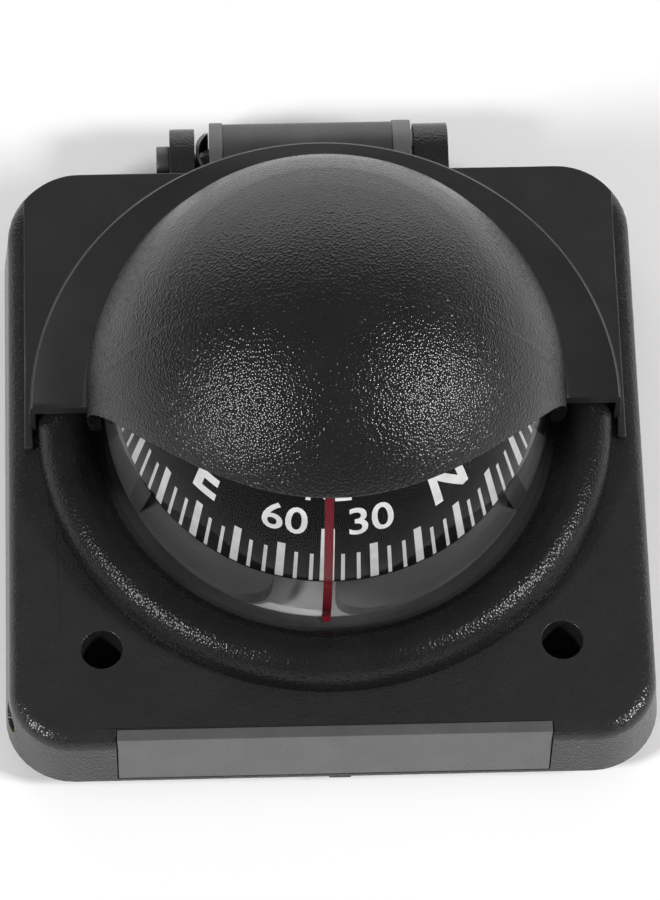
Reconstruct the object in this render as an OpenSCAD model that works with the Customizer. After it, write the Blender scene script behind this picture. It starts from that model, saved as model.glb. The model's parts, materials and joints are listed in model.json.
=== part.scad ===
// Tilting bulkhead compass: a liquid-filled globe in a square housing with a
// visor hood, hinged at the back on a flat mounting bracket.
// +Z is up, the front faces -Y, and the origin is on the mounting face under
// the middle of the housing. All sizes are in millimetres.

/* [Housing] */
// Width and depth of the square housing at its foot
housing_w = 85; // [84.5:0.1:85.5]
// Height of the housing, without the hood and the bracket
housing_h = 11; // [11:0.1:11.3]
// Radius of the housing's front corners in plan
corner_r = 9; // [8.6:0.1:9.2]
// Radius of the housing's rear corners in plan
rear_corner_r = 10.4; // [10:0.1:10.6]
// Radius of the rounded top edge of the housing
edge_r = 2.2; // [2:0.1:2.3]
// How far the housing's walls lean in from foot to top
wall_draft = 0.8; // [0.7:0.1:0.9]
// Thickness of the housing's top
top_t = 2.2; // [2.1:0.1:2.3]
// Width of the smooth panel let into the front wall
panel_w = 56; // [52:1:56]
// Sideways spacing of the fixing holes
hole_dx = 59.4; // [59:0.1:59.6]
// Front-to-back spacing of the fixing holes
hole_dy = 57; // [56.8:0.1:57.2]
// Diameter of the fixing holes through the housing
housing_hole_d = 5.3; // [5:0.1:5.5]

/* [Globe and hood] */
// Outer radius of the clear dome
globe_r = 29; // [28.9:0.05:29.05]
// Height of the globe's centre above the housing's top
globe_z = 9.6; // [9.5:0.1:9.8]
// Distance of the globe's centre behind the housing's middle
globe_y = 2.6; // [2.4:0.1:2.7]
// Outer radius of the hood's dome
hood_r = 31.2; // [31.1:0.05:31.3]
// Radius of the round cut that opens the visor
visor_r = 26; // [25.5:0.1:26.5]
// Radius of the hood's half-round flange
flange_r = 38.6; // [38.5:0.05:38.7]
// Height of the top of the flange above the housing's top
flange_z = 7.2; // [7.1:0.1:7.4]
// Outer radius of the bezel ring at its foot
bezel_r = 37.7; // [37.6:0.05:37.75]
// Height of the bezel ring's crest
bezel_h = 5; // [4.8:0.1:5]

/* [Card] */
// Radius of the card's upright band
card_r = 19.1; // [18.9:0.1:19.2]
// Depth of the band's lower edge below the globe's centre
card_drop = 4.7; // [4.6:0.1:5.1]
// Height of the card's flat top above the globe's centre
card_top = 10.3; // [10.2:0.1:10.4]
// Drop of the gimbal's pivots below the globe's centre
gimbal_drop = 2.4; // [2.3:0.1:2.5]

/* [Bracket] */
// Width of the bracket's plate
bracket_w = 72; // [70:1:74]
// Depth of the bracket's plate in front of its tongue
bracket_d = 72; // [70:1:74]
// Thickness of the bracket's plate
bracket_t = 2.5; // [2.4:0.1:2.6]
// Thickness of the foam pad under the bracket
pad_t = 0.8; // [0.7:0.1:1]
// Diameter of the four fixing holes in the bracket
bracket_hole_d = 4.5; // [4.2:0.1:4.8]
// Radius of the yoke's two arms around the hinge
arm_r = 5.65; // [5.6:0.05:5.7]

/* [Hidden] */
$fn = 96;
HULL_FN = 40;
ARC_STEPS = 16;
clear = 0.3;   // gap between bodies that move past each other
cut = 0.5;     // how far a cutter runs past the face it opens
bite = 0.2;    // overlap that joins two shapes of one piece

// Levels, upward from the mounting face
plate_z = pad_t;
plate_top = plate_z + bracket_t;
foot_z = plate_top + clear;
top_z = foot_z + housing_h;
centre_z = top_z + globe_z;
centre = [0, globe_y, centre_z];
gimbal = [0, globe_y, centre_z - gimbal_drop];

// Housing
half_w = housing_w / 2;
corner_c = half_w - corner_r;
rear_corner_c = half_w - rear_corner_r;
rear_y = half_w - 0.4;
wall_t = 2;
cover_t = 1.5;
cover_gap = 0.1;
inner_w = half_w - wall_draft - wall_t;
inner_r = 8;
panel_t = 1.6;
panel_h = 10.2;
boss_r = 4.4;
hole_r = housing_hole_d / 2;
hole_at = [for (x = [-1, 1], y = [-1, 1]) [x * hole_dx / 2, y * hole_dy / 2]];
front_top_y = -(half_w - 1.3);
front_foot_y = -(half_w - 0.1);
cover_screw_at = [for (x = [-30.6, 30.6], y = [-17.5, 17.5]) [x, y]];

// Seat stack of the globe: bowl flange, seal, dome flange, bezel ring
seat_r = 33.6;
seat_z = top_z - 1;
bowl_r = 28.3;
bowl_flange_t = 1.2;
bowl_wall = 1.3;
bowl_floor_z = foot_z + cover_t + 0.3;
bowl_floor_r = 21.4;
seal_t = 0.4;
dome_flange_z = seat_z + bowl_flange_t + seal_t;
dome_flange_t = 1.1;
dome_wall = 1.2;
bezel_seat_z = dome_flange_z + dome_flange_t;
bezel_c = 33.85;      // radius of the crest of the bezel ring
bezel_low = 0.95;     // height of the bezel's round section's middle
lubber_w = 1.1;
lubber_top = 62;       // height of its upper end round the dome, in degrees
lubber_turn = -1.4;    // how far the lubber line stands to the left of straight ahead, in degrees
bezel_screw_r = 35.6;
bezel_screw_a = [8, 172, 225, 315];

// Hood
hood_t = 1.6;
hood_inner_r = hood_r - hood_t;
skirt_inner_r = bezel_r + 0.2;
skirt_foot_r = flange_r + 0.3;
flange_t = 1.9;
hood_plate_t = 1;
hood_plate_x = 39.5;
hood_plate_back = 40.1;
hood_plate_front = -0.2;
hood_plate_r = 9;
visor_c = [-28.5, -5.5];  // middle of the visor's round cut, from the globe's centre
hood_screw_at = [[-35.4, 33.4], [35.4, 33.4], [-22, 37.6], [22, 37.6]];

// Hinge
hinge_y = half_w + 2.1;
hinge_z = foot_z + housing_h / 2;
left_lug = [-19.8, -16.4];
left_lug_r = 4.9;
right_lug = [13.2, 17.9];
right_lug_r = 5.15;
arms = [[-14.4, -12.6], [10.4, 12.9]];
barrel_r = arm_r - 0.2;
bolt_r = 1.5;
lug_bore_r = 1.55;
yoke_bore_r = 1.58;
bolt_head_r = 2.6;
bolt_head_t = 1.8;
nut_flats = 5.5;
nut_r = nut_flats / 2 / cos(30);
nut_x = 15.3;
notch_y = hinge_y - arm_r - clear;
notch_x = [left_lug[1], right_lug[0]];
yoke_foot = [40.3, 50.2];
yoke_foot_t = 2.2;
yoke_screw_x = [-9, 7.2];
yoke_screw_y = 48;

// Card and gimbal, heights from the gimbal's pivots
card_t = 0.8;
ring_in = 11.4;
ring_out = 13.2;
ring_h = 2.4;
post_in = 13.6;
post_out = 15.4;
post_w = 5;
arch_r = 10.9;            // middle radius of the arched plate between the posts
arch_w = 6;
arch_ends = [-71, 230];   // its round ends, which leave a gap at the front
bridge_floor = bowl_floor_z + bowl_wall;
pivot_r = 0.5;
pivot_bore_r = 0.56;
pin_tip = 4.6;
carrier_z = 3.4;
float_z = 5;
float_r = 11;
hub_r = 1.6;
disc_z = card_top - card_t + gimbal_drop;

// Compensators
comp_z = foot_z + 5;
comp_ew_y = -35.2;
comp_ns_x = 36.2;
comp_head_r = 1.9;
comp_head_bore = 1.96;
comp_r = 1.4;
comp_bore = 1.46;
comp_ew_from = -41.2;
comp_ew_l = 51.2;
comp_ns_from = 39.4;
comp_ns_l = 47.2;

// ---- shared shapes ----

// Points of an arc about c, from angle a to b
function arc(c, rx, ry, a, b, steps = ARC_STEPS) =
  [for (i = [0 : steps])
    let (t = a + (b - a) * i / steps) [c[0] + rx * cos(t), c[1] + ry * sin(t)]];

// Outline of a rectangle with round corners
function round_rect(x, y, r) =
  concat(arc([x - r, y - r], r, r, 0, 90, 8), arc([r - x, y - r], r, r, 90, 180, 8),
         arc([r - x, r - y], r, r, 180, 270, 8), arc([x - r, r - y], r, r, 270, 360, 8));

// Puts a shape drawn about the Z axis onto an X axis through [y, z], from x0
module along_x(x0, y, z) {
  translate([x0, y, z]) rotate([0, 90, 0]) children();
}

// Puts a shape drawn about the Z axis onto a Y axis through [x, z], from y0
module along_y(x, y0, z) {
  translate([x, y0, z]) rotate([-90, 0, 0]) children();
}

module at_points(points, z) {
  for (p = points) translate([p[0], p[1], z]) children();
}

// Pan-head screw pointing up from z = 0, with its head below
module screw_up(r, head_r, head_t, length) {
  difference() {
    union() {
      translate([0, 0, -head_t]) cylinder(r = head_r, h = head_t);
      translate([0, 0, -bite]) cylinder(r = r, h = length + bite);
    }
    for (a = [0, 90]) rotate([0, 0, a])
      translate([-head_r * 0.6, -0.25, -head_t - cut])
        cube([head_r * 1.2, 0.5, cut + head_t * 0.5]);
  }
}

// Half outline of a housing corner: draft, then the round top edge
module corner_profile(r) {
  r_top = r - wall_draft;
  polygon(concat([[0, 0], [r, 0]],
                 arc([r_top - edge_r, housing_h - edge_r], edge_r, edge_r, 0, 90, 6),
                 [[0, housing_h]]));
}

// ---- bracket ----

module plate_outline() {
  polygon(round_rect(bracket_w / 2, bracket_d / 2, 6));
  translate([arms[0][0] - 1, bracket_d / 2 - 8])
    square([arms[1][1] - arms[0][0] + 2, yoke_foot[1] - bracket_d / 2 + 8]);
}

module bracket_pad() {
  color("dimgray") difference() {
    linear_extrude(pad_t) plate_outline();
    at_points(hole_at, -cut) cylinder(r = bracket_hole_d / 2, h = pad_t + 2 * cut);
    for (x = yoke_screw_x) translate([x, yoke_screw_y, -cut])
      cylinder(r = 2.4, h = pad_t + 2 * cut);
  }
}

// Plate with its rear tongue and a thin stop tab at the front
module bracket_plate() {
  color([0.12, 0.12, 0.13]) difference() {
    union() {
      translate([0, 0, plate_z]) linear_extrude(bracket_t) plate_outline();
      translate([-0.7, -half_w + 0.2, plate_top - 0.8]) cube([3, half_w - 30, 0.8]);
    }
    at_points(hole_at, 0) cylinder(r = bracket_hole_d / 2, h = plate_top + cut);
    for (x = yoke_screw_x) translate([x, yoke_screw_y, 0]) {
      cylinder(r = 1.1, h = plate_top + cut);
      cylinder(r = 2.2, h = plate_z + 1.2);
    }
  }
}

// Two arms and the barrel between them, on a foot screwed to the plate
module bracket_yoke() {
  foot_x = [arms[0][0], arms[1][1]];
  color([0.2, 0.2, 0.21]) difference() {
    union() {
      along_x(foot_x[0] + 1, hinge_y, hinge_z)
        cylinder(r = barrel_r, h = foot_x[1] - foot_x[0] - 2);
      for (a = arms) {
        along_x(a[0], hinge_y, hinge_z) cylinder(r = arm_r, h = a[1] - a[0]);
        translate([a[0], hinge_y + 0.4, plate_top + yoke_foot_t - bite])
          cube([a[1] - a[0], yoke_foot[1] - hinge_y - 0.4, hinge_z - plate_top - yoke_foot_t + bite]);
      }
      translate([foot_x[0], yoke_foot[0], plate_top])
        cube([foot_x[1] - foot_x[0], yoke_foot[1] - yoke_foot[0], yoke_foot_t]);
    }
    along_x(foot_x[0] - cut, hinge_y, hinge_z)
      cylinder(r = yoke_bore_r, h = foot_x[1] - foot_x[0] + 2 * cut);
    for (x = yoke_screw_x) translate([x, yoke_screw_y, plate_top - cut])
      cylinder(r = 1, h = cut + yoke_foot_t - 0.3);
  }
}

module yoke_screws() {
  color("silver") for (x = yoke_screw_x)
    translate([x, yoke_screw_y, plate_z + 1.2]) screw_up(1, 2, 1, bracket_t - 1.2 + 1.6);
}

// ---- housing ----

// Solid block of the housing: drafted walls, round corners and top edge
module housing_block() {
  translate([0, 0, foot_z]) hull() for (s = [-1, 1]) {
    translate([s * corner_c, -corner_c, 0]) rotate_extrude($fn = HULL_FN) corner_profile(corner_r);
    translate([s * rear_corner_c, rear_y - rear_corner_r, 0])
      rotate_extrude($fn = HULL_FN) corner_profile(rear_corner_r);
  }
}

// Hollow under the housing's top, round the bosses, with room for the cover below
module housing_hollow() {
  translate([0, 0, foot_z - cut]) {
    linear_extrude(housing_h - top_t + cut) difference() {
      inner_outline(0);
      for (p = cover_screw_at) translate(p) circle(r = 2);
    }
    linear_extrude(cover_t + cut) inner_outline(0);
  }
}

// Inside of the walls, round the bosses, the panel's recess and the hinge notch
module inner_outline(gap) {
  difference() {
    polygon(round_rect(inner_w - gap, inner_w - gap, inner_r - gap));
    for (p = hole_at) translate(p) circle(r = boss_r + gap);
    translate([-panel_w / 2 - 1.4 - gap, -half_w]) square([panel_w + 2.8 + 2 * gap, half_w - 38.6 + gap]);
    translate([notch_x[0] - 2 - gap, notch_y - 2 - gap]) square([notch_x[1] - notch_x[0] + 4 + 2 * gap, 10]);
  }
}

// Recess in the front wall, open at the front and the top
module panel_recess() {
  translate([-panel_w / 2, 0, top_z - panel_h]) rotate([90, 0, 90]) linear_extrude(panel_w)
    polygon([[front_foot_y - 3, 0], [front_foot_y + panel_t, 0], [front_top_y + panel_t, panel_h],
             [front_top_y + panel_t, panel_h + 1], [front_foot_y - 3, panel_h + 1]]);
}

module lug(span, r) {
  along_x(span[0], hinge_y, hinge_z) cylinder(r = r, h = span[1] - span[0]);
  translate([span[0], half_w - 3, hinge_z - r + 0.35])
    cube([span[1] - span[0], hinge_y - half_w + 3, 2 * r - 0.7]);
}

// Bearing block for a compensator, hanging from the housing's top
module comp_bearing(at, size) {
  translate([at[0], at[1], comp_z - 2.4]) cube([size[0], size[1], top_z - top_t + bite - comp_z + 2.4]);
}

module base_housing() {
  color([0.13, 0.13, 0.14]) difference() {
    union() {
      difference() {
        housing_block();
        housing_hollow();
        panel_recess();
        translate([notch_x[0], notch_y, foot_z - cut])
          cube([notch_x[1] - notch_x[0], 10, housing_h + 2 * cut]);
        along_x(left_lug[0] - bolt_head_t - 0.4, hinge_y, hinge_z)
          cylinder(r = bolt_head_r + 0.3, h = bolt_head_t + 0.4);
      }
      lug(left_lug, left_lug_r);
      lug(right_lug, right_lug_r);
      comp_bearing([8, comp_ew_y - 2.6], [2.2, 5.2]);
      comp_bearing([comp_ns_x - 2.6, -8], [5.2, 2.2]);
    }
    // seat and opening for the bowl
    translate([0, globe_y, seat_z]) cylinder(r = seat_r, h = 1 + cut);
    translate([0, globe_y, foot_z]) cylinder(r = bowl_r + 0.3, h = housing_h + cut);
    // fixing holes
    at_points(hole_at, foot_z - cut) cylinder(r = hole_r, h = housing_h + 2 * cut);
    // hinge bores and the nut's pocket
    along_x(left_lug[0] - cut, hinge_y, hinge_z) cylinder(r = lug_bore_r, h = 5);
    along_x(right_lug[0] - cut, hinge_y, hinge_z) cylinder(r = lug_bore_r, h = 6);
    along_x(nut_x, hinge_y, hinge_z) cylinder(r = nut_r + 0.05, h = 5, $fn = 6);
    // compensator bores
    along_x(-half_w - cut, comp_ew_y, comp_z) cylinder(r = comp_head_bore, h = 6);
    along_x(7, comp_ew_y, comp_z) cylinder(r = comp_bore, h = 5);
    along_y(comp_ns_x, comp_ns_from - 5.4, comp_z) cylinder(r = comp_head_bore, h = 9);
    along_y(comp_ns_x, -9, comp_z) cylinder(r = comp_bore, h = 5);
    // screw holes
    for (a = bezel_screw_a) rotate_about_globe(a) translate([bezel_screw_r, 0, foot_z])
      cylinder(r = 0.7, h = housing_h + cut);
    at_points(cover_screw_at, foot_z - cut) cylinder(r = 0.8, h = 6);
    at_points(hood_screw_at, top_z - top_t - cut) cylinder(r = 0.8, h = top_t + 2 * cut);
  }
}

module rotate_about_globe(a) {
  translate([0, globe_y, 0]) rotate([0, 0, a]) children();
}

module base_cover() {
  color([0.1, 0.1, 0.1]) difference() {
    translate([0, 0, foot_z]) linear_extrude(cover_t) inner_outline(cover_gap);
    at_points(cover_screw_at, foot_z) {
      translate([0, 0, -cut]) cylinder(r = 0.9, h = cover_t + 2 * cut);
      translate([0, 0, -cut]) cylinder(r = 1.8, h = 0.9 + cut);
    }
  }
}

module cover_screws() {
  color("silver") at_points(cover_screw_at, foot_z + 0.9) screw_up(0.8, 1.6, 0.8, 4);
}

module front_panel() {
  z0 = top_z - panel_h;
  x = panel_w / 2 - 0.1;
  color([0.42, 0.42, 0.43]) rotate([90, 0, 90]) translate([0, 0, -x]) linear_extrude(2 * x)
    polygon([[front_foot_y, z0], [front_foot_y + panel_t - 0.05, z0],
             [front_top_y + panel_t - 0.05, top_z], [front_top_y, top_z]]);
}

// ---- globe ----

module bezel_ring() {
  half_t = bezel_r - bezel_c;
  color([0.14, 0.14, 0.15]) translate([0, globe_y, 0]) difference() {
    rotate_extrude() polygon(concat(
      [[seat_r + 0.4, top_z], [bezel_r, top_z]],
      arc([bezel_c, top_z + bezel_low], half_t, bezel_h - bezel_low, 0, 166, 24),
      [[bezel_c - half_t, bezel_seat_z], [seat_r + 0.4, bezel_seat_z]]));
    for (a = bezel_screw_a) rotate([0, 0, a]) translate([bezel_screw_r, 0, top_z - cut])
      cylinder(r = 0.7, h = cut + 3);
  }
}

module bezel_screws() {
  color("silver") for (a = bezel_screw_a) rotate_about_globe(a)
    translate([bezel_screw_r, 0, top_z - top_t]) screw_up(0.7, 1.3, 0.9, top_t + 2.8);
}

module bowl_seal() {
  color("black") translate([0, globe_y, seat_z + bowl_flange_t]) difference() {
    cylinder(r = seat_r - 0.6, h = seal_t);
    translate([0, 0, -cut]) cylinder(r = bowl_r + 0.9, h = seal_t + 2 * cut);
  }
}

// Clear shell from the crown down to its clamped flange
module globe_dome() {
  low = dome_flange_z - centre_z;
  inner = globe_r - dome_wall;
  turn = asin(low / globe_r);
  turn_flange = asin((low + dome_flange_t) / globe_r);
  turn_in = asin(low / inner);
  color([0.85, 0.9, 0.92, 0.35]) translate(centre) rotate_extrude()
    polygon(concat([[sqrt(inner * inner - low * low), low], [seat_r - 0.2, low],
                    [seat_r - 0.2, low + dome_flange_t]],
                   arc([0, 0], globe_r, globe_r, turn_flange, 90, 40),
                   arc([0, 0], inner, inner, 90, turn_in, 40)));
}

module globe_bowl() {
  z0 = bowl_floor_z;
  zf = seat_z + bowl_flange_t;
  inner = bowl_r - bowl_wall;
  color([0.8, 0.8, 0.8]) translate([0, globe_y, 0]) difference() {
    rotate_extrude() polygon(concat(
      [[9, z0], [bowl_floor_r, z0]],
      arc([bowl_floor_r, seat_z - 1.5], bowl_r - bowl_floor_r, seat_z - 1.5 - z0, -80, 0, 12),
      [[bowl_r, seat_z], [seat_r - 0.2, seat_z], [seat_r - 0.2, zf], [inner, zf], [inner, seat_z - 1.5]],
      arc([bowl_floor_r - bowl_wall, seat_z - 1.5], bowl_r - bowl_floor_r,
          seat_z - 1.5 - z0 - bowl_wall, -5, -85, 12),
      [[bowl_floor_r - bowl_wall, z0 + bowl_wall], [9, z0 + bowl_wall]]));
    for (s = [-1, 1]) translate([s * 17.6, 0, z0 - cut]) cylinder(r = 0.8, h = bowl_wall + 2 * cut);
    translate([0, 16, z0 - cut]) cylinder(r = 2, h = bowl_wall + 2 * cut);
  }
}

// Upright strip inside the dome that marks the heading, on a small foot
module lubber_line() {
  outer = globe_r - dome_wall - 0.4;
  inner = outer - 0.8;
  foot_low = seat_z + bowl_flange_t - centre_z;
  foot_top = foot_low + seal_t - 0.05;
  color([0.75, 0.05, 0.12]) rotate_about_globe(lubber_turn) intersection() {
    translate([0, 0, centre_z]) rotate_extrude() polygon(concat(
      [[24, foot_low], [bowl_r, foot_low], [bowl_r, foot_top]],
      arc([0, 0], outer, outer, asin(foot_top / outer), lubber_top, 24),
      arc([0, 0], inner, inner, lubber_top, asin(foot_top / inner), 24),
      [[24, foot_top]]));
    translate([-lubber_w / 2, -half_w, 0]) cube([lubber_w, half_w, 80]);
  }
}

module diaphragm() {
  color([0.7, 0.7, 0.7]) translate([0, globe_y, bridge_floor]) {
    cylinder(r = 12.4, h = 0.6);
    translate([0, 0, -bowl_wall + 0.2]) cylinder(r = 8.8, h = bowl_wall);
  }
}

module diaphragm_ring() {
  color([0.75, 0.75, 0.75]) translate([0, globe_y, bridge_floor + 0.6]) difference() {
    cylinder(r = 12.4, h = 0.9);
    translate([0, 0, -cut]) cylinder(r = 11.2, h = 0.9 + 2 * cut);
  }
}

module filler_plug() {
  color("goldenrod") translate([0, globe_y + 16, bowl_floor_z]) cylinder(r = 2, h = bowl_wall);
  color("goldenrod") translate([0, globe_y + 16, bowl_floor_z + bowl_wall]) cylinder(r = 2.7, h = 0.9);
}

// Two posts on one arched plate, which carry the gimbal ring
module gimbal_bridge() {
  z0 = bridge_floor;
  color([0.16, 0.16, 0.17]) translate([0, globe_y, 0]) difference() {
    union() {
      translate([0, 0, z0 + 1.8]) {
        rotate([0, 0, arch_ends[0]]) rotate_extrude(angle = arch_ends[1] - arch_ends[0])
          translate([arch_r - arch_w / 2, 0]) square([arch_w, 1.2]);
        for (a = arch_ends) rotate([0, 0, a]) translate([arch_r, 0, 0]) cylinder(r = arch_w / 2 - 0.1, h = 1.2);
      }
      for (s = [0, 180]) rotate([0, 0, s]) {
        translate([post_in, -post_w / 2, z0]) cube([post_out - post_in, post_w, gimbal[2] - z0]);
        along_x(post_in, 0, gimbal[2]) cylinder(r = post_w / 2, h = post_out - post_in);
        translate([post_in, -post_w / 2, z0]) cube([19.6 - post_in, post_w, 1.2]);
      }
    }
    for (s = [0, 180]) rotate([0, 0, s]) {
      along_x(post_in - cut, 0, gimbal[2]) cylinder(r = pivot_bore_r, h = post_out - post_in + cut - 0.3);
      translate([17.6, 0, z0 - cut]) cylinder(r = 0.8, h = 1.2 + 2 * cut);
    }
  }
}

module bridge_screws() {
  color("silver") for (s = [-1, 1]) translate([s * 17.6, globe_y, bridge_floor + 1.2])
    rotate([180, 0, 0]) screw_up(0.8, 1.5, 0.8, 1.2 + bowl_wall - 0.1);
}

// ---- hood ----

module hood_plate() {
  r = hood_plate_r;
  x = 41;
  translate([0, 0, top_z]) linear_extrude(hood_plate_t) intersection() {
    polygon(concat([[-x, hood_plate_front], [x, hood_plate_front]],
                   arc([x - r, hood_plate_back - r], r, r, 0, 90, 8),
                   arc([r - x, hood_plate_back - r], r, r, 90, 180, 8)));
    translate([-hood_plate_x, -half_w]) square([2 * hood_plate_x, 2 * half_w]);
  }
}

// Half section of the dome, down to the underside of the flange
module hood_dome_profile() {
  low = top_z - centre_z + flange_z - flange_t;
  polygon(concat(arc([0, 0], hood_inner_r, hood_inner_r, 90, 0, 24),
                 [[hood_inner_r, low], [hood_r, low]],
                 arc([0, 0], hood_r, hood_r, 0, 90, 24)));
}

// Half section of the flange and the skirt below it
module hood_flange_profile() {
  low = top_z - centre_z;
  top = low + flange_z;
  chamfer = 0.35;
  root = hood_r - hood_t / 2;
  polygon([[root, top - flange_t], [skirt_inner_r, top - flange_t], [skirt_inner_r, low],
           [skirt_foot_r, low], [flange_r, top - chamfer], [flange_r - chamfer, top], [root, top]]);
}

module hood() {
  color([0.15, 0.15, 0.16]) difference() {
    union() {
      translate(centre) rotate_extrude() hood_dome_profile();
      translate(centre) rotate_extrude(angle = 180) hood_flange_profile();
      difference() {
        hood_plate();
        translate([0, globe_y, top_z - cut]) cylinder(r = skirt_inner_r, h = hood_plate_t + 2 * cut);
      }
    }
    along_x(-50, globe_y + visor_c[0], centre_z + visor_c[1]) cylinder(r = visor_r, h = 100, $fn = 180);
    at_points(hood_screw_at, top_z - cut) cylinder(r = 0.8, h = cut + hood_plate_t - 0.3);
  }
}

module hood_screws() {
  color("silver") at_points(hood_screw_at, top_z - top_t) screw_up(0.8, 1.5, 0.9, top_t + 0.6);
}

// ---- hinge fasteners ----

module hinge_bolt() {
  color([0.2, 0.2, 0.21]) difference() {
    union() {
      along_x(left_lug[0] - bolt_head_t, hinge_y, hinge_z) cylinder(r = bolt_head_r, h = bolt_head_t);
      along_x(left_lug[0] - bite, hinge_y, hinge_z) cylinder(r = bolt_r, h = right_lug[1] - left_lug[0]);
    }
    for (a = [0, 90]) translate([left_lug[0] - bolt_head_t, hinge_y, hinge_z]) rotate([a, 0, 0])
      translate([-cut, -1.9, -0.4]) cube([cut + 1, 3.8, 0.8]);
  }
}

module hinge_nut() {
  color("silver") difference() {
    along_x(nut_x, hinge_y, hinge_z) cylinder(r = nut_r, h = 2.2, $fn = 6);
    along_x(nut_x - cut, hinge_y, hinge_z) cylinder(r = bolt_r, h = 4);
  }
}

// Thin ring that waves three times between the lug and the arm
module wave_washer() {
  steps = 60;
  mid = (left_lug[1] + arms[0][0]) / 2;
  wave = 0.66;
  t = 0.2;
  radii = [2.1, 4.3];
  rim = [for (i = [0 : steps - 1]) let (a = i * 360 / steps, x = mid + wave * sin(3 * a))
    each [[x - t, radii[0] * cos(a), radii[0] * sin(a)], [x - t, radii[1] * cos(a), radii[1] * sin(a)],
          [x + t, radii[1] * cos(a), radii[1] * sin(a)], [x + t, radii[0] * cos(a), radii[0] * sin(a)]]];
  sides = [for (i = [0 : steps - 1], k = [0 : 3])
    let (j = (i + 1) % steps, m = (k + 1) % 4)
      each [[4 * i + k, 4 * i + m, 4 * j + m], [4 * i + k, 4 * j + m, 4 * j + k]]];
  color("dimgray") translate([0, hinge_y, hinge_z]) polyhedron(points = rim, faces = sides);
}

// ---- gimbal ----

module gimbal_ring() {
  color("goldenrod") translate(gimbal) difference() {
    translate([0, 0, -ring_h / 2]) cylinder(r = ring_out, h = ring_h);
    translate([0, 0, -ring_h]) cylinder(r = ring_in, h = 2 * ring_h);
    along_x(-15, 0, 0) cylinder(r = pivot_r, h = 30);
    along_y(0, -15, 0) cylinder(r = pivot_bore_r, h = 30);
  }
}

module ring_pivots() {
  color("silver") translate(gimbal) for (s = [0, 180]) rotate([0, 0, s])
    along_x(ring_in, 0, 0) cylinder(r = pivot_r, h = post_out - ring_in - 0.4);
}

module gimbal_cradle() {
  color([0.16, 0.16, 0.17]) translate(gimbal) difference() {
    union() {
      translate([-2, -ring_in + 0.5, -0.8]) cube([4, 2 * ring_in - 1, 1.6]);
      translate([0, 0, -3]) cylinder(r = 4, h = 4);
    }
    for (s = [0, 180]) rotate([0, 0, s]) along_y(0, 7.5, 0) cylinder(r = pivot_r, h = 5);
    translate([0, 0, -0.5]) cylinder(r = 0.6, h = 3);
  }
}

module cradle_pivots() {
  color("silver") translate(gimbal) for (s = [0, 180]) rotate([0, 0, s])
    along_y(0, 7.5, 0) cylinder(r = pivot_r, h = ring_out - 7.5 - 0.1);
}

module counterweight() {
  color("dimgray") translate(gimbal) translate([0, 0, -7]) cylinder(r = 7, h = 4);
}

module pivot_pin() {
  color("silver") translate(gimbal) rotate_extrude()
    polygon([[0, -0.5], [0.6, -0.5], [0.6, pin_tip - 1.2], [0, pin_tip]]);
}

// ---- card ----

// Band, round shoulder and flat top of the card, open below
module card_dial() {
  shoulder = asin((card_top - 1) / card_r);
  inner = card_r - card_t;
  in_shoulder = asin((card_top - card_t - 1) / inner);
  color([0.06, 0.06, 0.06]) translate(centre) rotate_extrude() polygon(concat(
    [[inner, -card_drop], [card_r, -card_drop]],
    arc([0, 1], card_r, card_r, 0, shoulder, 20),
    [[hub_r, card_top], [hub_r, card_top - card_t]],
    arc([0, 1], inner, inner, in_shoulder, 0, 20)));
}

module card_float() {
  color("black") translate(gimbal) rotate_extrude()
    polygon([[hub_r, float_z], [float_r, float_z], [float_r, disc_z - 1.2],
             [float_r - 1.2, disc_z], [hub_r, disc_z]]);
}

module jewel_cup() {
  color("gold") translate(gimbal) difference() {
    translate([0, 0, pin_tip - 0.6]) cylinder(r = hub_r, h = disc_z + card_t - pin_tip + 0.6);
    translate([0, 0, pin_tip - 0.9]) rotate_extrude()
      polygon([[0, 0], [1, 0], [1, 0.3], [0, 1]]);
  }
}

module magnet_carrier() {
  color("white") translate(gimbal) translate([0, 0, carrier_z]) difference() {
    cylinder(r = 9.8, h = float_z - carrier_z);
    translate([0, 0, -cut]) cylinder(r = hub_r, h = 3);
  }
}

module card_magnets() {
  color("silver") translate(gimbal) for (s = [-1, 1])
    translate([s * 6 - 1, -6, carrier_z - 2]) cube([2, 12, 2]);
}

// ---- compensators ----

// Slotted shaft lying along Z from its slotted end
module comp_shaft(length) {
  difference() {
    union() {
      cylinder(r = comp_head_r, h = 5);
      cylinder(r = comp_r, h = length);
    }
    translate([-comp_head_r - cut, -0.4, -cut]) cube([2 * comp_head_r + 2 * cut, 0.8, cut + 1]);
    for (z = [length - 9, length - 14]) translate([0, 0, z]) rotate([90, 0, 0])
      translate([0, 0, -2]) cylinder(r = 0.8, h = 4);
  }
}

module comp_magnets(length) {
  for (z = [length - 9, length - 14]) translate([0, 0, z]) rotate([90, 0, 0])
    translate([0, 0, -1.7]) cylinder(r = 0.8, h = 3.4);
}

module place_ew() {
  along_x(comp_ew_from, comp_ew_y, comp_z) children();
}

module place_ns() {
  translate([comp_ns_x, comp_ns_from, comp_z]) rotate([90, 0, 0]) children();
}

module compensator_ns() { color("goldenrod") place_ns() comp_shaft(comp_ns_l); }
module ns_magnets() { color("silver") place_ns() comp_magnets(comp_ns_l); }
module compensator_ew() { color("goldenrod") place_ew() comp_shaft(comp_ew_l); }
module ew_magnets() { color("silver") place_ew() comp_magnets(comp_ew_l); }

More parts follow.
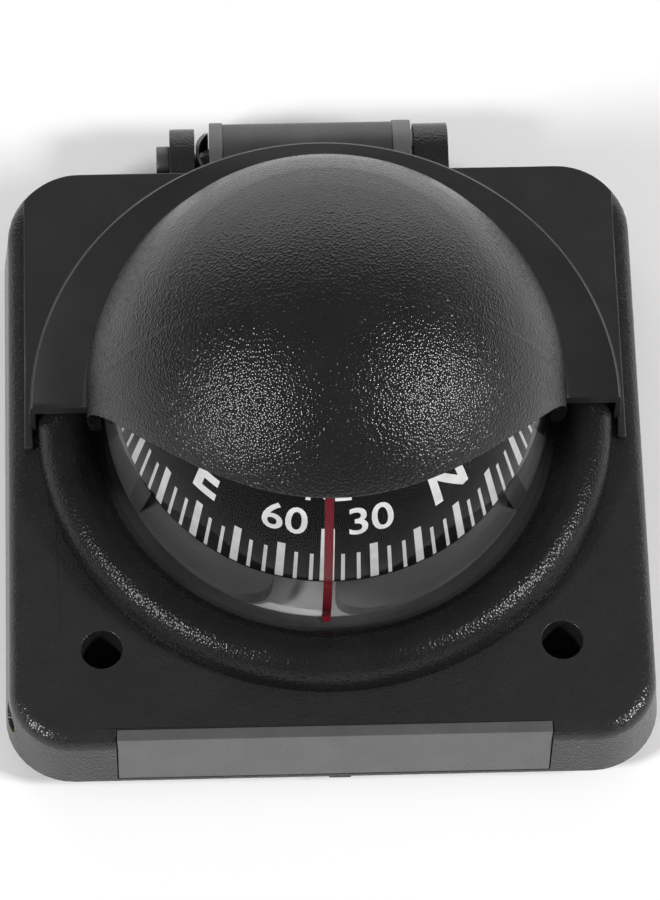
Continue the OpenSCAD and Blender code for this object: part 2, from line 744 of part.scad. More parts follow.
bracket_pad();
bracket_plate();
bracket_yoke();
yoke_screws();
base_housing();
base_cover();
cover_screws();
front_panel();
bezel_ring();
bezel_screws();
bowl_seal();
globe_dome();
globe_bowl();
lubber_line();
diaphragm();
diaphragm_ring();
filler_plug();
gimbal_bridge();
bridge_screws();
hood();
hood_screws();
hinge_bolt();
hinge_nut();
wave_washer();
gimbal_ring();
ring_pivots();
gimbal_cradle();
cradle_pivots();
counterweight();
pivot_pin();
card_dial();
card_float();
jewel_cup();
magnet_carrier();
card_magnets();
compensator_ns();
ns_magnets();
compensator_ew();
ew_magnets();
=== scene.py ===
"""Tilting bulkhead compass: finished surfaces, the card's print, the liquid-filled globe,
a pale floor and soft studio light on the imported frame. Metres, +Z up, the front faces -Y."""

import json
import math

import bmesh
import bpy
from mathutils import Matrix, Vector

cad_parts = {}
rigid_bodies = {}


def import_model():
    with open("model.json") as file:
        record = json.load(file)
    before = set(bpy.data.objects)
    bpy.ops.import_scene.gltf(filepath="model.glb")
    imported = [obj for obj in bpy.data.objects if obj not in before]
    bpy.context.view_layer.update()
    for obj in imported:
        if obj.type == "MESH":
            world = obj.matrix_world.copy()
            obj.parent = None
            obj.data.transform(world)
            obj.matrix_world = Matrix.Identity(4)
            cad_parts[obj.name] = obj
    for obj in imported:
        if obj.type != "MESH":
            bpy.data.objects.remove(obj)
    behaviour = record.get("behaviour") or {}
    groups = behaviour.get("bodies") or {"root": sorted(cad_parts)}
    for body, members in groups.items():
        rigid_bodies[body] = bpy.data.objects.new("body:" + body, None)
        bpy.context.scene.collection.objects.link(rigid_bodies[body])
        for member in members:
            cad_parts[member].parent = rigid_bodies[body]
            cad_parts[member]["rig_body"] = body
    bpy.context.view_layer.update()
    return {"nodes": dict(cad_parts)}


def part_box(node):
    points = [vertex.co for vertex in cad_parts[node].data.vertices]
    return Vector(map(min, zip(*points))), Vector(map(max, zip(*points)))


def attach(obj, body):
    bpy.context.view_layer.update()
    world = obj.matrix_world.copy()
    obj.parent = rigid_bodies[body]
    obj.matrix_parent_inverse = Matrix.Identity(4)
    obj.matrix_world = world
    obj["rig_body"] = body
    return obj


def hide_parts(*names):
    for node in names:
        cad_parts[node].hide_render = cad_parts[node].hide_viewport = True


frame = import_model()

MM = 0.001

# ---- sizes that the CAD nodes' boxes don't give ----
GLOBE_R = 29 * MM
HOOD_R = 31.2 * MM
HOOD_WALL = 1.6 * MM
FLANGE_R = 38.6 * MM
FLANGE_DROP = 2.4 * MM       # flange's top, below the globe's centre
FLANGE_T = 1.9 * MM
SKIRT_IN_R = 37.9 * MM
SKIRT_FOOT_R = 38.9 * MM
VISOR_R = 26 * MM            # round cut that opens the hood, its axis along X
VISOR_Y = -28.5 * MM
VISOR_Z = -5.5 * MM
BEZEL_CREST_R = 33.85 * MM
BEZEL_LOW = 0.95 * MM        # middle of the bezel's round section, above the housing's top
PLATE_BACK = 40.1 * MM       # rear edge of the hood's plate
PLATE_SIDE = 41 * MM         # where its straight sides would be, before the hood's width trims them
PLATE_CORNER_R = 9 * MM
PLATE_T = 1.0 * MM
PLATE_HOLE_R = 38.4 * MM
ARMS_INSIDE = (-12.6 * MM, 10.4 * MM)   # facing sides of the yoke's two arms
YOKE_FOOT_Z = 6 * MM         # above the yoke's foot
CLEAR_GLOSS = 0.11
CARD_R = 19.1 * MM
SHOULDER_Z = 1.0 * MM        # top of the card's upright band, above the globe's centre
CARD_YAW = math.radians(-1.4)
TICK_FOOT = 0.25 * MM        # lower end of every mark, above the card's lower edge
TICK = (0.40 * MM, 5.25 * MM)            # width and top of the marks every 5 degrees,
LONG_TICK = (0.88 * MM, 6.5 * MM)        # every 15 degrees,
QUARTER_TICK = (1.5 * MM, 9.8 * MM)      # and every 90 degrees
# Foot, height, stretch sideways and extra weight of the print
CARDINAL_PRINT = (8.4 * MM, 5.4 * MM, 0.95, 0.03)
BETWEEN_PRINT = (13.9 * MM, 2.6 * MM, 1.3, 0.02)
NUMBER_PRINT = (8.55 * MM, 4.15 * MM, 0.98, 0.012)

# ---- sizes that the CAD nodes' boxes give ----
base_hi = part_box("base_housing")[1]
dome_lo, dome_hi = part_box("globe_dome")
bezel_lo, bezel_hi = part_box("bezel_ring")
hood_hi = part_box("hood")[1]
card_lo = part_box("card_dial")[0]
top_z = base_hi.z
globe = Vector((0, (dome_lo.y + dome_hi.y) / 2, dome_hi.z - GLOBE_R))
card_band = globe.z + SHOULDER_Z - card_lo.z


# ---- meshes ----

def make_piece(name, mesh, finish, body, slot, *stands_for):
    """Adds a mesh to the scene as a piece of the object."""
    mesh.materials.clear()
    mesh.materials.append(finish)
    piece = bpy.data.objects.new(name, mesh)
    bpy.context.scene.collection.objects.link(piece)
    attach(piece, body)
    if stands_for:
        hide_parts(*stands_for)
    return piece


def mesh_of(name, points, faces):
    """A mesh with touching points merged and its faces turned outwards."""
    mesh = bpy.data.meshes.new(name)
    mesh.from_pydata([tuple(p) for p in points], [], faces)
    mesh.validate()
    tidy = bmesh.new()
    tidy.from_mesh(mesh)
    bmesh.ops.remove_doubles(tidy, verts=tidy.verts, dist=0.001 * MM)
    bmesh.ops.recalc_face_normals(tidy, faces=tidy.faces)
    tidy.to_mesh(mesh)
    tidy.free()
    return mesh


def grid_faces(rows, columns, closed):
    """Quads between rows of points, each row holding that many columns."""
    faces = []
    for i in range(rows - 1):
        for j in range(columns if closed else columns - 1):
            k = (j + 1) % columns
            faces.append((i * columns + j, i * columns + k, (i + 1) * columns + k, (i + 1) * columns + j))
    return faces


def smoothed(mesh, angle=35):
    """Smooth shading, with edges sharper than the angle kept sharp."""
    for face in mesh.polygons:
        face.use_smooth = True
    mesh.set_sharp_from_angle(angle=math.radians(angle))
    return mesh


def with_modifiers(mesh, *settings):
    """The mesh after modifiers, each given as (type, {property: value})."""
    helper = bpy.data.objects.new("helper", mesh)
    bpy.context.scene.collection.objects.link(helper)
    for kind, values in settings:
        modifier = helper.modifiers.new(kind, kind)
        for key, value in values.items():
            setattr(modifier, key, value)
    bpy.context.view_layer.update()
    made = bpy.data.meshes.new_from_object(helper.evaluated_get(bpy.context.evaluated_depsgraph_get()))
    bpy.data.objects.remove(helper)
    return made


def bevelled(mesh, width, segments=2, angle=40):
    """The mesh with edges sharper than the angle rounded, and flat faces shaded flat."""
    for face in mesh.polygons:
        face.use_smooth = True
    return with_modifiers(
        mesh,
        ("BEVEL", {"width": width, "segments": segments, "limit_method": "ANGLE",
                   "angle_limit": math.radians(angle), "use_clamp_overlap": False}),
        ("WEIGHTED_NORMAL", {"mode": "FACE_AREA", "weight": 90}))


def cut_by(mesh, cutter):
    """The mesh with the cutter's volume taken away."""
    tool = bpy.data.objects.new("cutter", cutter)
    bpy.context.scene.collection.objects.link(tool)
    made = with_modifiers(mesh, ("BOOLEAN", {"operation": "DIFFERENCE", "solver": "EXACT", "object": tool}))
    bpy.data.objects.remove(tool)
    return made


def arc(centre, rx, ry, start, end, steps):
    """Points of an arc in the plane, angles in degrees."""
    points = []
    for i in range(steps + 1):
        a = math.radians(start + (end - start) * i / steps)
        points.append((centre[0] + rx * math.cos(a), centre[1] + ry * math.sin(a)))
    return points


def lathe(name, profile, centre, segments=192, turn=360, closed=True):
    """Turns (radius, height) points about the upright axis through centre, from +X by turn degrees."""
    whole = turn == 360
    columns = segments if whole else segments + 1
    points = []
    for r, z in profile:
        for j in range(columns):
            a = math.radians(turn) * j / segments
            points.append(centre + Vector((r * math.cos(a), r * math.sin(a), z)))
    rows = len(profile)
    faces = grid_faces(rows, columns, whole)
    if closed:
        for j in range(columns if whole else columns - 1):
            k = (j + 1) % columns
            faces.append(((rows - 1) * columns + j, (rows - 1) * columns + k, k, j))
    if not whole:
        faces.append([i * columns for i in range(rows)])
        faces.append([i * columns + columns - 1 for i in reversed(range(rows))])
    return mesh_of(name, points, faces)


def prism(name, outline, low, high):
    """Upright block with that outline in plan."""
    count = len(outline)
    points = [(x, y, z) for z in (low, high) for x, y in outline]
    faces = grid_faces(2, count, True)
    faces.append(list(range(count)))
    faces.append(list(range(count, 2 * count)))
    return mesh_of(name, points, faces)


def refined(node, finish, slot, width, angle=40, name=None):
    """A CAD node's own shape with its edges rounded by width, inside the node's own box."""
    source = frame["nodes"][node]
    mesh = bpy.data.meshes.new(node + "_fine")
    work = bmesh.new()
    work.from_mesh(source.data)
    bmesh.ops.remove_doubles(work, verts=work.verts, dist=0.002 * MM)
    bmesh.ops.dissolve_limit(work, angle_limit=math.radians(0.8), verts=work.verts, edges=work.edges)
    work.to_mesh(mesh)
    work.free()
    mesh = bevelled(mesh, width, 2, angle)
    low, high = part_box(node)
    for vertex in mesh.vertices:
        vertex.co = [min(max(c, a), b) for c, a, b in zip(vertex.co, low, high)]
    return make_piece(name or node + "_fine", mesh, finish, source["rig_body"], slot, node)


# ---- finishes ----

def add_node(material, kind, **inputs):
    node = material.node_tree.nodes.new(kind)
    for key, value in inputs.items():
        node.inputs[key.replace("_", " ")].default_value = value
    return node


def grey(level):
    """Neutral colour of that level."""
    return (level, level, level)


def finish(name, dark, light, roughness, spread=0.06, grain=0.3, depth=0.01, metallic=0.0,
           specular=0.5, cells=False, soil=6.0):
    """Opaque surface. The colour drifts between dark and light over soil mm, the gloss by
    spread, and the grain is bumps grain mm across and depth mm high."""
    material = bpy.data.materials.new(name)
    material.use_nodes = True
    links = material.node_tree.links
    shader = material.node_tree.nodes["Principled BSDF"]
    shader.inputs["Metallic"].default_value = metallic
    shader.inputs["Specular IOR Level"].default_value = specular
    place = material.node_tree.nodes.new("ShaderNodeTexCoord")

    drift = add_node(material, "ShaderNodeTexNoise", Scale=1 / (soil * MM), Detail=4.0, Roughness=0.6)
    links.new(place.outputs["Object"], drift.inputs["Vector"])
    tint = material.node_tree.nodes.new("ShaderNodeValToRGB")
    tint.color_ramp.elements[0].position = 0.35
    tint.color_ramp.elements[0].color = (*dark, 1)
    tint.color_ramp.elements[1].position = 0.65
    tint.color_ramp.elements[1].color = (*light, 1)
    links.new(drift.outputs["Fac"], tint.inputs["Fac"])
    links.new(tint.outputs["Color"], shader.inputs["Base Color"])

    speckle = add_node(material, "ShaderNodeTexNoise", Scale=1 / (grain * MM), Detail=2.0, Roughness=0.5)
    links.new(place.outputs["Object"], speckle.inputs["Vector"])
    gloss = add_node(material, "ShaderNodeMapRange", From_Min=0.3, From_Max=0.7,
                     To_Min=roughness - spread, To_Max=roughness + spread)
    links.new(speckle.outputs["Fac"], gloss.inputs["Value"])
    links.new(gloss.outputs["Result"], shader.inputs["Roughness"])

    height = speckle.outputs["Fac"]
    if cells:
        pebbles = add_node(material, "ShaderNodeTexVoronoi", Scale=1 / (grain * MM), Randomness=1.0)
        links.new(place.outputs["Object"], pebbles.inputs["Vector"])
        domed = material.node_tree.nodes.new("ShaderNodeMath")
        domed.operation = "MULTIPLY"
        links.new(pebbles.outputs["Distance"], domed.inputs[0])
        links.new(pebbles.outputs["Distance"], domed.inputs[1])
        height = domed.outputs["Value"]
    bump = add_node(material, "ShaderNodeBump", Strength=1.0, Distance=depth * MM)
    links.new(height, bump.inputs["Height"])
    links.new(bump.outputs["Normal"], shader.inputs["Normal"])
    return material


def clear_finish(name, ior):
    """Clear acrylic over liquid of the same index, so only its outer face bends light. Its
    mirror reflection is held down to CLEAR_GLOSS of the full strength."""
    material = finish(name, grey(1.0), (0.97, 0.98, 0.98), 0.015, spread=0.01, grain=4, depth=0.0005)
    shader = material.node_tree.nodes["Principled BSDF"]
    shader.inputs["Transmission Weight"].default_value = 1.0
    shader.inputs["IOR"].default_value = ior
    shader.inputs["Specular Tint"].default_value = (*grey(CLEAR_GLOSS), 1)
    return material


# Colours, roughness, its spread, grain size and grain depth of each material
pebbled = finish("pebbled_black", grey(0.009), grey(0.012), 0.18, 0.05, 0.34, 0.078,
                 specular=0.36, cells=True)
ring_black = finish("ring_black", grey(0.009), grey(0.012), 0.24, 0.05, 0.34, 0.056,
                    specular=0.22, cells=True)
satin = finish("satin_black", grey(0.024), grey(0.030), 0.36, 0.05, 0.30, 0.008, specular=0.4)
base_black = finish("base_black", grey(0.018), grey(0.022), 0.22, 0.05, 0.34, 0.056,
                    specular=0.35, cells=True)
# Lighter grey than the black housing: painted reflection of the pale floor on the front panel
panel_painted_reflection = finish("panel_painted_reflection", grey(0.080), grey(0.098), 0.30, 0.04, 0.20, 0.002)
yoke_grey = finish("yoke_grey", grey(0.105), grey(0.125), 0.45, 0.05, 0.30, 0.006)
# Same plastic as the yoke's arms, coloured darker: painted shade on the barrel between the arms
barrel_painted_shade = finish("barrel_painted_shade", grey(0.036), grey(0.050), 0.45, 0.05, 0.30, 0.006)
bracket_black = finish("bracket_black", grey(0.014), grey(0.020), 0.45, 0.06, 0.30, 0.008)
cover_black = finish("cover_black", grey(0.012), grey(0.018), 0.55, 0.05, 0.40, 0.008)
foam = finish("foam", (0.020, 0.020, 0.022), (0.034, 0.034, 0.036), 0.95, 0.04, 0.50, 0.12, cells=True)
rubber = finish("rubber", grey(0.010), grey(0.016), 0.75, 0.08, 0.30, 0.010)
grey_rubber = finish("grey_rubber", grey(0.64), grey(0.70), 0.60, 0.06, 0.40, 0.010)
bowl_grey = finish("bowl_grey", grey(0.026), grey(0.036), 0.50, 0.06, 0.40, 0.006)
# Grey of the gimbal bridge; on its arched plate under the card this darker grey against the pale diaphragm is
# painted shadow of the card
bridge_and_painted_shadow = finish("bridge_and_painted_shadow", grey(0.122), grey(0.142), 0.50, 0.05, 0.40, 0.004)
red = finish("lubber_red", (0.10, 0.004, 0.008), (0.13, 0.006, 0.012), 0.45, 0.06, 0.30, 0.004, specular=0.2)
card_black = finish("card_black", grey(0.005), grey(0.007), 0.65, 0.05, 0.25, 0.003, specular=0.05)
card_white = finish("card_white", (0.62, 0.62, 0.61), (0.74, 0.74, 0.73), 0.55, 0.06, 0.30, 0.003, soil=2.0)
steel = finish("steel", (0.42, 0.42, 0.41), (0.56, 0.56, 0.55), 0.28, 0.10, 0.15, 0.004, metallic=1.0)
spring = finish("spring_steel", grey(0.10), grey(0.18), 0.35, 0.10, 0.15, 0.004, metallic=1.0)
black_bolt = finish("bolt_black", grey(0.060), grey(0.080), 0.40, 0.08, 0.20, 0.006)
brass = finish("brass", (0.42, 0.28, 0.09), (0.55, 0.38, 0.14), 0.32, 0.10, 0.20, 0.004, metallic=1.0)
lead = finish("lead", (0.14, 0.14, 0.15), (0.20, 0.20, 0.21), 0.55, 0.10, 0.50, 0.020, metallic=1.0)
magnet = finish("magnet", (0.30, 0.30, 0.31), (0.42, 0.42, 0.43), 0.30, 0.08, 0.20, 0.004, metallic=1.0)
gimbal_black = finish("gimbal_black", grey(0.010), grey(0.014), 0.50, 0.05, 0.30, 0.005)
float_black = finish("float_black", grey(0.014), grey(0.022), 0.80, 0.05, 0.30, 0.020)
clear = clear_finish("clear_acrylic", 1.43)


# ---- hood ----

def visor_edge(radius, low, share):
    """Point of the visor's edge on a ball of that radius about the globe's centre. Share runs
    from 0 at height low, on the +X side, to 1 at the front."""
    reach = math.hypot(VISOR_Y, VISOR_Z)
    turn = math.acos((radius ** 2 + reach ** 2 - VISOR_R ** 2) / (2 * radius * reach))
    high = radius * math.sin(turn + math.atan2(VISOR_Z, -VISOR_Y))
    z = high - (high - low) * (1 - share) ** 2
    y = VISOR_Y + math.sqrt(VISOR_R ** 2 - (z - VISOR_Z) ** 2)
    x = math.sqrt(max(0, radius ** 2 - y ** 2 - z ** 2))
    return Vector((x, y, z))


def hood_edge(radius, low, front_steps, back_steps):
    """Lower edge of a ball-shaped wall: round the visor at the front, level at the back."""
    right = [visor_edge(radius, low, i / front_steps) for i in range(front_steps + 1)]
    left = [Vector((-p.x, p.y, p.z)) for p in reversed(right[:-1])]
    start = math.atan2(left[-1].y, left[-1].x) + 2 * math.pi
    end = math.atan2(right[0].y, right[0].x) + 2 * math.pi
    level = math.sqrt(radius ** 2 - low ** 2)
    back = []
    for i in range(1, back_steps):
        a = start + (end - 2 * math.pi - start) * i / back_steps
        back.append(Vector((level * math.cos(a), level * math.sin(a), low)))
    return right + left + back


def up_the_ball(point, share):
    """Share of the way from a point on a ball to its crown, along the meridian."""
    radius = point.length
    low = math.asin(point.z / radius)
    lift = low + (math.pi / 2 - low) * share
    flat = Vector((point.x, point.y, 0)).normalized()
    return flat * radius * math.cos(lift) + Vector((0, 0, radius * math.sin(lift)))


def bend(a, corner, b, share):
    """Point of the round that replaces a corner between a and b."""
    return a.lerp(corner, share).lerp(corner.lerp(b, share), share)


def hood_dome():
    """Ball-shaped wall of even thickness, its lower edge rounded over."""
    low = -FLANGE_DROP - FLANGE_T
    rim = 0.4 * MM
    inner_r = HOOD_R - HOOD_WALL
    outside = hood_edge(HOOD_R, low, 60, 72)
    inside = hood_edge(inner_r, low, 60, 72)
    heights = [1, 0.985, 0.96, 0.92, 0.85, 0.76, 0.66, 0.56, 0.46, 0.36, 0.27, 0.19, 0.12, 0.06, 0]
    rows = []
    for share in heights:
        first = [rim / HOOD_R / (math.pi / 2 - math.asin(p.z / HOOD_R)) for p in outside]
        rows.append([up_the_ball(p, f + (1 - f) * share) for p, f in zip(outside, first)])
    outer_start = rows[-1]
    first = [rim / inner_r / (math.pi / 2 - math.asin(p.z / inner_r)) for p in inside]
    inner_start = [up_the_ball(p, f) for p, f in zip(inside, first)]
    face_out = [p.lerp(q, rim / (p - q).length) for p, q in zip(outside, inside)]
    face_in = [q.lerp(p, rim / (p - q).length) for p, q in zip(outside, inside)]
    for share in (0.25, 0.5, 0.75, 1):
        rows.append([bend(a, c, b, share) for a, c, b in zip(outer_start, outside, face_out)])
    for share in (0, 0.25, 0.5, 0.75, 1):
        rows.append([bend(a, c, b, share) for a, c, b in zip(face_in, inside, inner_start)])
    for share in reversed(heights[:-1]):
        rows.append([up_the_ball(p, f + (1 - f) * share) for p, f in zip(inside, first)])
    points = [globe + p for row in rows for p in row]
    return mesh_of("hood_dome", points, grid_faces(len(rows), len(outside), True))


def hood_flange():
    """Half-round flange behind the globe, with its skirt down to the housing."""
    low = top_z - globe.z
    top = -FLANGE_DROP
    chamfer = 0.4 * MM
    fillet = 0.7 * MM
    root = HOOD_R - HOOD_WALL / 2
    foot = math.sqrt(HOOD_R ** 2 - (top + fillet) ** 2)
    profile = [(root, top - FLANGE_T), (SKIRT_IN_R, top - FLANGE_T), (SKIRT_IN_R, low), (SKIRT_FOOT_R, low),
               (FLANGE_R, top - chamfer), (FLANGE_R - chamfer, top)]
    profile += arc((foot + fillet, top + fillet), fillet, fillet, 270, 180, 5)
    profile.append((root, top + fillet))
    return bevelled(lathe("hood_flange", profile, globe, 144, 180), 0.12 * MM, 2, 60)


def hood_plate():
    """Flat plate on the housing's rear half, cut away inside the skirt."""
    side = hood_hi.x
    front = -0.2 * MM
    high = top_z + PLATE_T
    corner_x = PLATE_SIDE - PLATE_CORNER_R
    corner_y = PLATE_BACK - PLATE_CORNER_R
    right = [p for p in arc((corner_x, corner_y), PLATE_CORNER_R, PLATE_CORNER_R, 0, 90, 16) if p[0] < side]
    turn = math.acos((side - corner_x) / PLATE_CORNER_R)
    right = [(side, corner_y + PLATE_CORNER_R * math.sin(turn))] + right
    outline = [(-side, front), (side, front)] + right + [(-x, y) for x, y in reversed(right)]
    hole = [(globe.x + x, globe.y + y) for x, y in arc((0, 0), PLATE_HOLE_R, PLATE_HOLE_R, 0, 358, 179)]
    plate = prism("hood_plate", outline, top_z, high)
    plate = cut_by(plate, prism("hood_plate_hole", hole, top_z - MM, high + MM))
    return bevelled(plate, 0.22 * MM, 2, 40)


def joined(name, *meshes):
    """One mesh holding all of them."""
    whole = bmesh.new()
    for mesh in meshes:
        whole.from_mesh(mesh)
    made = bpy.data.meshes.new(name)
    whole.to_mesh(made)
    whole.free()
    return made


ball = hood_dome()
grained = len(ball.polygons)
hood = make_piece("hood_shell", smoothed(joined("hood_shell", ball, hood_flange(), hood_plate())),
                  pebbled, "housing", "hood_plastic", "hood")
hood.data.materials.append(satin)
for face in hood.data.polygons[grained:]:
    face.material_index = 1


# ---- bezel ring and globe ----

def bezel_mesh():
    """Ring of half-elliptical section, with its wall going down into the housing."""
    half = bezel_hi.x - BEZEL_CREST_R
    rise = bezel_hi.z - top_z - BEZEL_LOW
    inner = BEZEL_CREST_R - half
    lip = 0.3 * MM
    foot = bezel_lo.z - globe.z
    middle = (BEZEL_CREST_R, top_z + BEZEL_LOW - globe.z)
    profile = [(BEZEL_CREST_R + 0.2 * MM, top_z - globe.z), (bezel_hi.x, top_z - globe.z)]
    profile += arc(middle, half, rise, 0, 166, 40)
    profile += [(inner, foot + lip), (inner + lip, foot), (BEZEL_CREST_R + 0.2 * MM, foot)]
    return lathe("bezel", profile, globe, 240)


def dome_mesh():
    """Outer face of the globe, from its foot to its crown."""
    low = dome_lo.z - globe.z
    flange = low + 1.1 * MM
    turn = math.degrees(math.asin(flange / GLOBE_R))
    profile = [(dome_hi.x, low), (dome_hi.x, flange)] + arc((0, 0), GLOBE_R, GLOBE_R, turn, 90, 60)
    return lathe("dome", profile, globe, 192, closed=False)


make_piece("bezel_round", smoothed(bezel_mesh(), 50), ring_black, "housing", "grained_plastic", "bezel_ring")
dome = make_piece("dome_and_liquid", smoothed(dome_mesh(), 50), clear, "housing", "clear_acrylic",
                  "globe_dome")
# The light inside the globe is worked out as if the clear wall were not there
dome.visible_shadow = False
dome.visible_diffuse = False


# ---- card's print ----

def on_card(angle, height, lift=0.025 * MM):
    """Point on the card's face. Angle is from the front towards +X, height along the face."""
    r = CARD_R + lift
    turn = max(0, height - card_band) / CARD_R
    z = min(height, card_band) + r * math.sin(turn)
    flat = r * math.cos(turn)
    a = angle + CARD_YAW
    return Vector((globe.x + flat * math.sin(a), globe.y - flat * math.cos(a), card_lo.z + z))


def tick(angle, width, low, high):
    """Grid of points and faces for one upright mark."""
    across = 3
    up = max(2, round((high - low) / (0.7 * MM)))
    points = []
    for i in range(up + 1):
        for j in range(across + 1):
            side = width * (j / across - 0.5) / CARD_R
            points.append(on_card(angle + side, low + (high - low) * i / up))
    return points, grid_faces(up + 1, across + 1, False)


def card_ticks():
    """All the upright marks round the card's lower edge."""
    points, faces = [], []
    for degrees in range(0, 360, 5):
        angle = math.radians(degrees)
        width, high = TICK
        if degrees % 15 == 0:
            width, high = LONG_TICK
        if degrees % 90 == 0:
            width, high = QUARTER_TICK
        more, quads = tick(angle, width, TICK_FOOT, high)
        faces += [[k + len(points) for k in quad] for quad in quads]
        points += more
    return mesh_of("card_ticks", points, faces)


def letters(word, angle, low, height, stretch, weight):
    """A word's flat outline, cut into small cells and laid on the card's face."""
    curve = bpy.data.curves.new(word, "FONT")
    curve.body = word
    curve.align_x = "CENTER"
    curve.offset = weight
    curve.resolution_u = 4
    text = bpy.data.objects.new(word, curve)
    bpy.context.scene.collection.objects.link(text)
    bpy.context.view_layer.update()
    flat = bpy.data.meshes.new_from_object(text.evaluated_get(bpy.context.evaluated_depsgraph_get()))
    bpy.data.objects.remove(text)
    bottom = min(v.co.y for v in flat.vertices)
    scale = height / (max(v.co.y for v in flat.vertices) - bottom)
    middle = (min(v.co.x for v in flat.vertices) + max(v.co.x for v in flat.vertices)) / 2
    work = bmesh.new()
    work.from_mesh(flat)
    for v in work.verts:
        v.co = Vector(((v.co.x - middle) * scale * stretch, (v.co.y - bottom) * scale, 0))
    half = max(v.co.x for v in work.verts)
    step = 0.5 * MM
    for axis, start, end in ((Vector((1, 0, 0)), -half, half), (Vector((0, 1, 0)), 0, height)):
        for i in range(int((end - start) / step) + 1):
            everything = work.verts[:] + work.edges[:] + work.faces[:]
            bmesh.ops.bisect_plane(work, geom=everything, plane_co=axis * (start + i * step), plane_no=axis)
    for v in work.verts:
        v.co = on_card(angle + v.co.x / CARD_R, low + v.co.y)
    made = bpy.data.meshes.new(word)
    work.to_mesh(made)
    work.free()
    return made


def card_words():
    """Letters of the eight points, and the numbers every 30 degrees between them."""
    cardinals = {0: "N", 90: "E", 180: "S", 270: "W"}
    between = {45: "NE", 135: "SE", 225: "SW", 315: "NW"}
    made = []
    for heading in range(0, 360, 15):
        angle = math.radians(45 - heading)
        if heading in cardinals:
            made.append(letters(cardinals[heading], angle, *CARDINAL_PRINT))
        elif heading in between:
            made.append(letters(between[heading], angle, *BETWEEN_PRINT))
        elif heading % 30 == 0:
            made.append(letters(str(heading), angle, *NUMBER_PRINT))
    return joined("card_words", *made)


make_piece("card_ticks", card_ticks(), card_white, "card", "card_black")
make_piece("card_words", card_words(), card_white, "card", "card_black")


# ---- rounded copies of CAD nodes ----
refined("base_housing", base_black, "housing_plastic", 0.15 * MM, name="housing_body")
# The front panel's lighter grey is painted reflection of the pale floor, on the housing's black plastic
refined("front_panel", panel_painted_reflection, "panel_plastic", 0.12 * MM, name="panel_inset")
yoke = refined("bracket_yoke", yoke_grey, "yoke_plastic", 0.12 * MM, name="yoke_body")
# The barrel faces between the arms get a darker copy of the yoke's grey: painted shade
yoke.data.materials.append(barrel_painted_shade)
for face in yoke.data.polygons:
    if ARMS_INSIDE[0] < face.center.x < ARMS_INSIDE[1] and face.center.z > YOKE_FOOT_Z:
        face.material_index = 1
refined("bracket_plate", bracket_black, "bracket_plastic", 0.25 * MM, name="bracket_body")
refined("hinge_bolt", black_bolt, "bolt_black", 0.2 * MM, name="bolt_body")
refined("lubber_line", red, "red_plastic", 0.12 * MM, name="lubber_strip")

# ---- CAD nodes shown as they are ----
SHOWN = {
    foam: ["bracket_pad"],
    steel: ["yoke_screws", "cover_screws", "bezel_screws", "bridge_screws", "hood_screws", "hinge_nut",
            "ring_pivots", "cradle_pivots", "pivot_pin"],
    cover_black: ["base_cover"],
    rubber: ["bowl_seal"],
    bowl_grey: ["globe_bowl"],
    grey_rubber: ["diaphragm", "diaphragm_ring"],
    brass: ["filler_plug", "gimbal_ring", "jewel_cup", "compensator_ns", "compensator_ew"],
    # Gimbal bridge: real grey part, and on its arched plate painted shadow of the card on the bowl floor
    bridge_and_painted_shadow: ["gimbal_bridge"],
    gimbal_black: ["gimbal_cradle", "magnet_carrier"],
    spring: ["wave_washer"],
    lead: ["counterweight"],
    card_black: ["card_dial"],
    float_black: ["card_float"],
    magnet: ["card_magnets", "ns_magnets", "ew_magnets"],
}
for surface, names in SHOWN.items():
    for name in names:
        for place in frame["nodes"][name].material_slots:
            place.material = surface


# ---- stage ----

CAMERA_LIFT = math.radians(65.29)
CAMERA_SWING = math.radians(-3.8)
CAMERA_ROLL = math.radians(-2.3)
CAMERA_DISTANCE = 0.6514
CAMERA_LENS = 198.4
CAMERA_SHIFT = (0.0047, -0.0070)
SKY_TOP = 0.25               # height on the sky, as the sine of elevation, above which it is even


def area_light(name, direction, distance, size, power, aim):
    """Rectangular light that looks at aim from that direction and distance."""
    light = bpy.data.lights.new(name, "AREA")
    light.shape = "RECTANGLE"
    light.size, light.size_y = size
    light.energy = power
    lamp = bpy.data.objects.new(name, light)
    bpy.context.scene.collection.objects.link(lamp)
    lamp.location = aim + Vector(direction).normalized() * distance
    lamp.rotation_mode = "QUATERNION"
    lamp.rotation_quaternion = (lamp.location - aim).to_track_quat("Z", "Y")
    lamp.visible_camera = False
    return lamp


def floor():
    """Large pale floor under the object."""
    half = 4.0
    corners = [(-half, -half, 0), (half, -half, 0), (half, half, 0), (-half, half, 0)]
    mesh = mesh_of("floor", corners, [(0, 1, 2, 3)])
    surface = finish("floor_white", grey(0.95), grey(0.97), 0.9, 0.02, 3, 0.01, specular=0.1, soil=300)
    mesh.materials.append(surface)
    piece = bpy.data.objects.new("floor", mesh)
    bpy.context.scene.collection.objects.link(piece)


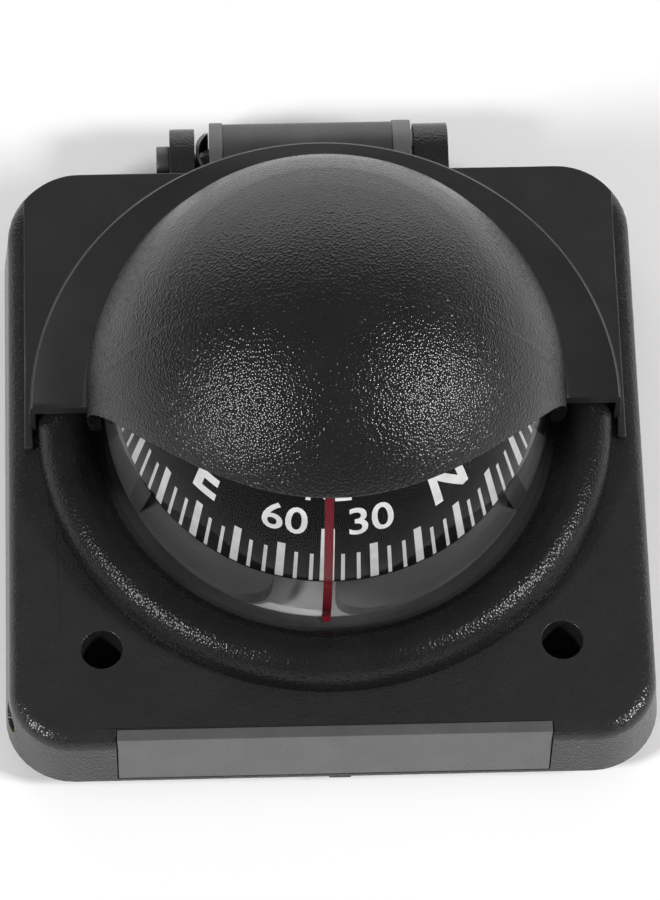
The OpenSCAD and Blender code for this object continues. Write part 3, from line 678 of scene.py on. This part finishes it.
def world_light(horizon, zenith):
    """Pale surroundings, brighter at and below the horizon than overhead."""
    world = bpy.data.worlds.new("studio")
    bpy.context.scene.world = world
    world.use_nodes = True
    nodes, links = world.node_tree.nodes, world.node_tree.links
    place = nodes.new("ShaderNodeTexCoord")
    parts = nodes.new("ShaderNodeSeparateXYZ")
    ramp = nodes.new("ShaderNodeValToRGB")
    ramp.color_ramp.elements[0].position = 0.0
    ramp.color_ramp.elements[0].color = (*grey(horizon), 1)
    ramp.color_ramp.elements[1].position = SKY_TOP
    ramp.color_ramp.elements[1].color = (*grey(zenith), 1)
    links.new(place.outputs["Generated"], parts.inputs["Vector"])
    links.new(parts.outputs["Z"], ramp.inputs["Fac"])
    links.new(ramp.outputs["Color"], nodes["Background"].inputs["Color"])
    nodes["Background"].inputs["Strength"].default_value = 1.0


def place_camera():
    """Camera in front and above, on a long lens, a little to the left and turned slightly."""
    lift, swing, roll = CAMERA_LIFT, CAMERA_SWING, CAMERA_ROLL
    back = Vector((math.sin(swing) * math.cos(lift), -math.cos(swing) * math.cos(lift), math.sin(lift)))
    right = Vector((math.cos(swing), math.sin(swing), 0))
    up = back.cross(right)
    data = bpy.data.cameras.new("camera")
    data.lens = CAMERA_LENS
    data.sensor_width = 36
    data.shift_x, data.shift_y = CAMERA_SHIFT
    data.clip_start, data.clip_end = 0.05, 20
    camera = bpy.data.objects.new("camera", data)
    bpy.context.scene.collection.objects.link(camera)
    across = right * math.cos(roll) - up * math.sin(roll)
    upward = right * math.sin(roll) + up * math.cos(roll)
    turned = Matrix((across, upward, back)).transposed()
    camera.matrix_world = Matrix.Translation(Vector((0, 0, top_z)) + back * CAMERA_DISTANCE) @ turned.to_4x4()
    bpy.context.scene.camera = camera


floor()
aim = Vector((0, 0, top_z))
area_light("soft_left", (-0.67, -0.40, 0.63), 1.0, (0.18, 0.18), 6, aim)
area_light("soft_right", (0.76, -0.27, 0.59), 1.0, (0.18, 0.18), 7, aim)
area_light("soft_back", (0, 0.95, 0.30), 1.2, (1.8, 1.0), 7.5, aim)
world_light(1.10, 0.21)
place_camera()
bpy.context.scene.view_settings.view_transform = "Standard"
